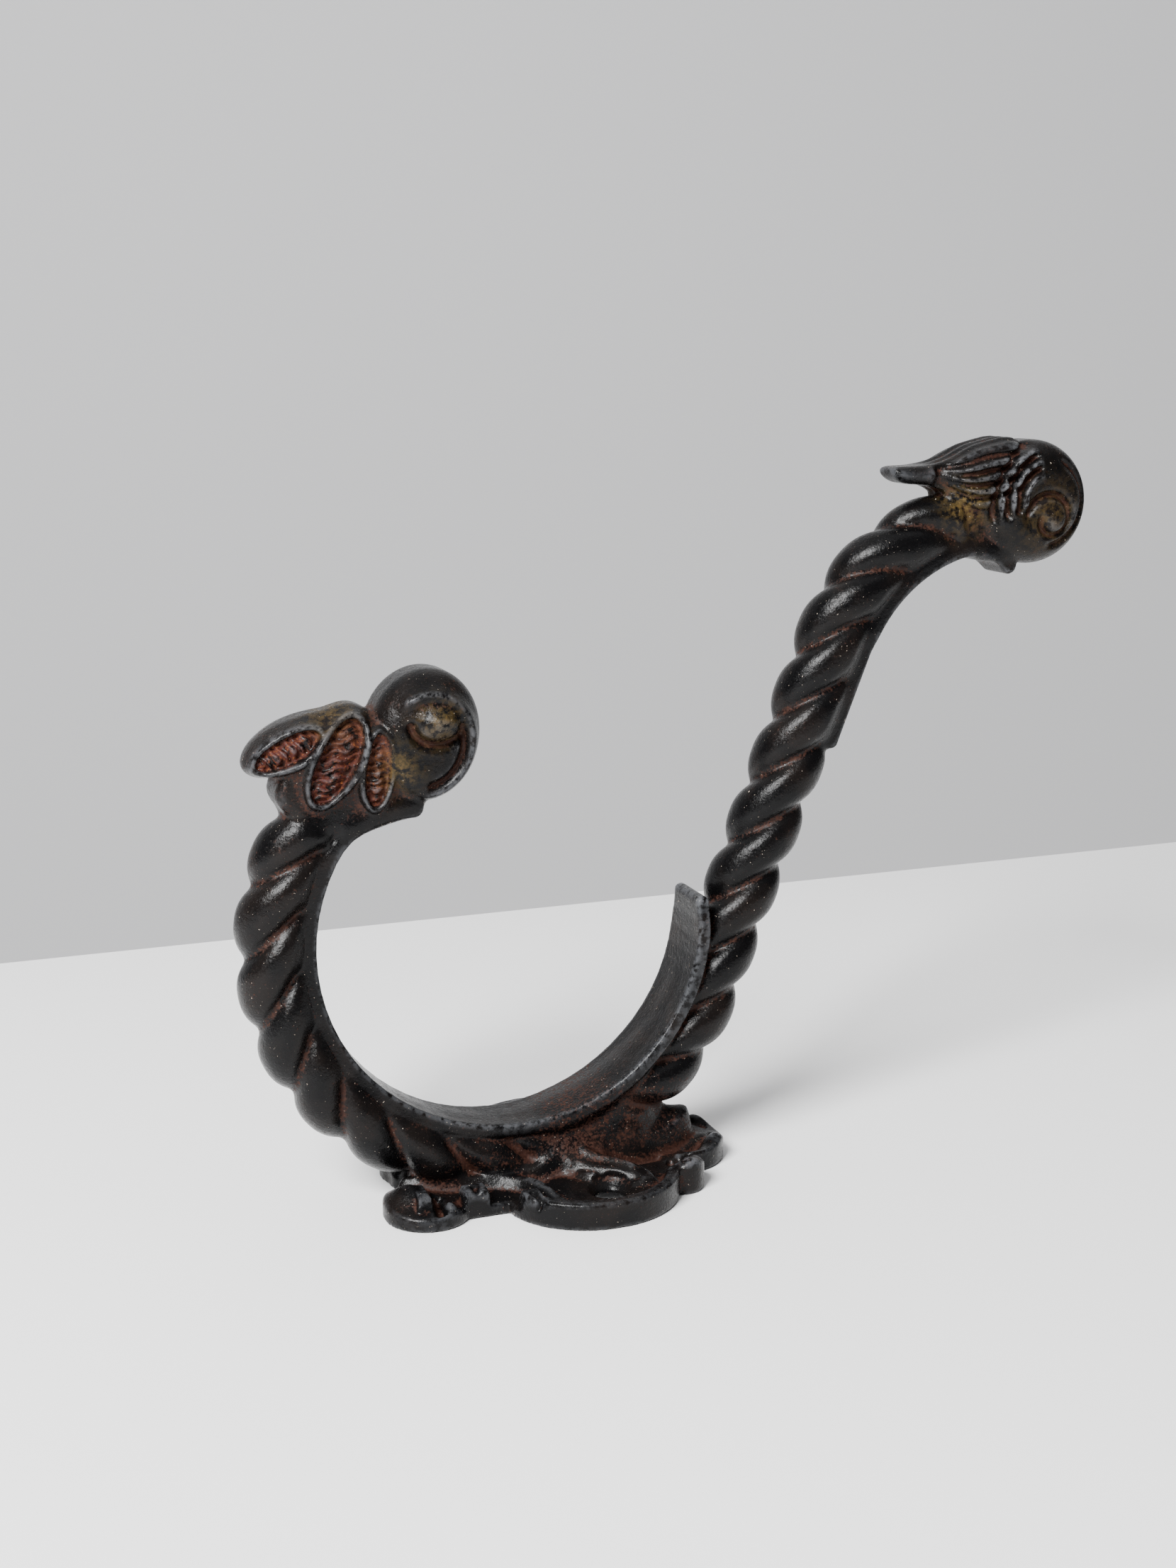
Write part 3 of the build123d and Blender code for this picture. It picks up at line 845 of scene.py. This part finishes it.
def iron(name, rust=0.0, rubbed=1.0):
    """Worn black paint on cast iron, with rust in its hollows and bare metal on its edges."""
    n = Nodes(name)
    fine, mid, wide = n.noise(2300.0, 4.0, 0.62), n.noise(820.0, 5.0, 0.65), n.noise(130.0, 3.0)
    colour = n.mix(n.ramp(wide, 0.42, 0.66), BLACK, SOOT)
    rusty = n.math("ADD", n.mask("dirt"), n.math("MULTIPLY", n.mask("brown"), 0.34))
    rusty = n.math("ADD", rusty, n.math("MULTIPLY_ADD", wide, 0.5, -0.25))
    rusty = n.math("ADD", rusty, n.math("MULTIPLY_ADD", mid, 1.1, -0.60 + rust))
    rusty = n.math("ADD", rusty, n.math("MULTIPLY_ADD", fine, 1.5, -0.80))
    rusty = n.ramp(rusty, 0.12, 0.56)
    colour = n.mix(n.math("MULTIPLY", rusty, 0.85), colour, n.mix(n.ramp(fine, 0.46, 0.66), BROWN, UMBER))
    red = n.math("MULTIPLY", n.mask("red"), n.ramp(mid, 0.38, 0.56))
    colour = n.mix(red, colour, n.mix(n.ramp(fine, 0.52, 0.70), RED, ORANGE))
    ochre = n.math("MULTIPLY", n.mask("ochre"), n.ramp(mid, 0.40, 0.58))
    colour = n.mix(ochre, colour, n.mix(n.ramp(fine, 0.38, 0.58), OCHRE, MOSS))
    bare = n.math("MULTIPLY", n.mask("rub"), n.ramp(mid, 0.38, 0.58, (0.0, 0.9 * rubbed)))
    colour = n.mix(bare, colour, STEEL)
    speck = n.ramp(n.noise(3100.0, 2.0, 0.5), 0.725, 0.75)
    speck = n.math("MULTIPLY", speck, n.ramp(mid, 0.36, 0.66, (0.1, 0.8)))
    colour = n.mix(speck, colour, SPECK)
    n.link(colour, n.shader.inputs["Base Color"])
    dull = n.math("ADD", n.math("MULTIPLY", rusty, 0.30), n.math("MULTIPLY_ADD", fine, 0.70, -0.12))
    dull = n.math("ADD", dull, n.math("MULTIPLY", n.math("MAXIMUM", red, ochre), 0.3), clamp=True)
    n.link(dull, n.shader.inputs["Roughness"])
    grain = n.bump(mid, 0.5, 0.00022)
    n.link(n.bump(fine, 0.5, 0.00010, grain), n.shader.inputs["Normal"])
    n.shader.inputs["Specular IOR Level"].default_value = 0.13
    return n.material


FINISH = {  # each material's extra rust, and how bare its rubbed edges are
    name: iron(name, rust, rubbed)
    for name, rust, rubbed in [
        ("plate_iron", 0.02, 0.4),
        ("rope_iron", 0.0, 0.8),
        ("saddle_iron", 0.02, 0.8),
        ("scroll_iron", 0.05, 0.7),
        ("neck_iron", 0.12, 0.5),
        ("leaf_iron", 0.06, 0.45),
    ]
}

for name, nodes, slot_name, block in regions:
    if block is None:
        piece = rest_of_casting
        piece.name = name
    else:
        piece = cut(rest_of_casting, name, block, "INTERSECT")
        smaller = cut(rest_of_casting, "rest", block, "DIFFERENCE")
        bpy.data.objects.remove(rest_of_casting)
        rest_of_casting = smaller
    mesh = piece.data
    drop_crumbs(mesh)
    co = at_vertices(mesh)
    add_masks(mesh, co)
    mesh.vertices.foreach_set("co", (co * MM).ravel())
    mesh.update()
    mesh.shade_smooth()
    mesh.set_sharp_from_angle(angle=math.radians(60))
    mesh.materials.clear()
    mesh.materials.append(FINISH[slot_name])
    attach(piece, "root")
    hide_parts(*nodes)

# ---- stage: a pale table top and wall, soft light from the upper left, and the photographer's view --------
FLOOR_HALF, FLOOR_BACK = 0.9, 0.155  # a table top that ends a little behind the hook
FLOOR_GAP = 0.0001  # keeps it clear of the flat back of the plate
WALL_HALF, WALL_Y = 3.0, 1.6
WALL_GREY = (0.80, 0.80, 0.81)


def plain(name, colour, rough):
    n = Nodes(name)
    n.shader.inputs["Base Color"].default_value = (*colour, 1.0)
    n.shader.inputs["Roughness"].default_value = rough
    return n.material


floor_corners = boxed(-FLOOR_HALF, FLOOR_HALF, -FLOOR_HALF, FLOOR_BACK)
floor = mesh_object("floor", [(x, y, 0) for x, y in floor_corners], [(0, 1, 2, 3)])
floor.location.z = -FLOOR_GAP
floor.data.materials.append(plain("pale_floor", (0.86, 0.86, 0.86), 0.7))
wall_corners = boxed(-WALL_HALF, WALL_HALF, -WALL_HALF, WALL_HALF)
wall = mesh_object("wall", [(x, WALL_Y, z) for x, z in wall_corners], [(0, 1, 2, 3)])
pale_wall = plain("pale_wall", WALL_GREY, 0.8)
wall_shader = pale_wall.node_tree.nodes["Principled BSDF"]
wall_shader.inputs["Emission Color"].default_value = (*WALL_GREY, 1.0)
wall_shader.inputs["Emission Strength"].default_value = 0.55
wall.data.materials.append(pale_wall)

world = bpy.data.worlds.new("studio")
bpy.context.scene.world = world
world.use_nodes = True
world.node_tree.nodes["Background"].inputs["Color"].default_value = (0.72, 0.725, 0.74, 1.0)
world.node_tree.nodes["Background"].inputs["Strength"].default_value = 0.22


def soft_lamp(name, place, size, power, target=(0.02, 0.0, 0.06)):
    lamp = bpy.data.lights.new(name, "AREA")
    lamp.size, lamp.energy = size, power
    holder = bpy.data.objects.new(name, lamp)
    holder.location = place
    holder.rotation_euler = (Vector(target) - Vector(place)).to_track_quat("-Z", "Y").to_euler()
    bpy.context.scene.collection.objects.link(holder)


soft_lamp("window", (-0.50, -0.42, 0.60), 0.34, 26.0)
soft_lamp("ceiling", (0.0, 0.1, 1.5), 2.2, 13.0)

CAMERA_PLACE, CAMERA_LENS = (-0.105, -0.298, 0.138), 45.57
CAMERA_DOWN, CAMERA_HEADING = 12.5, 20.6  # degrees below the horizon, and from +Y towards +X
camera = bpy.data.cameras.new("camera")
camera.sensor_width, camera.lens = 36.0, CAMERA_LENS
camera.clip_start, camera.clip_end = 0.01, 20.0
eye_point = bpy.data.objects.new("camera", camera)
eye_point.location = CAMERA_PLACE
eye_point.rotation_euler = (math.radians(90 - CAMERA_DOWN), 0, math.radians(-CAMERA_HEADING))
bpy.context.scene.collection.objects.link(eye_point)
bpy.context.scene.camera = eye_point
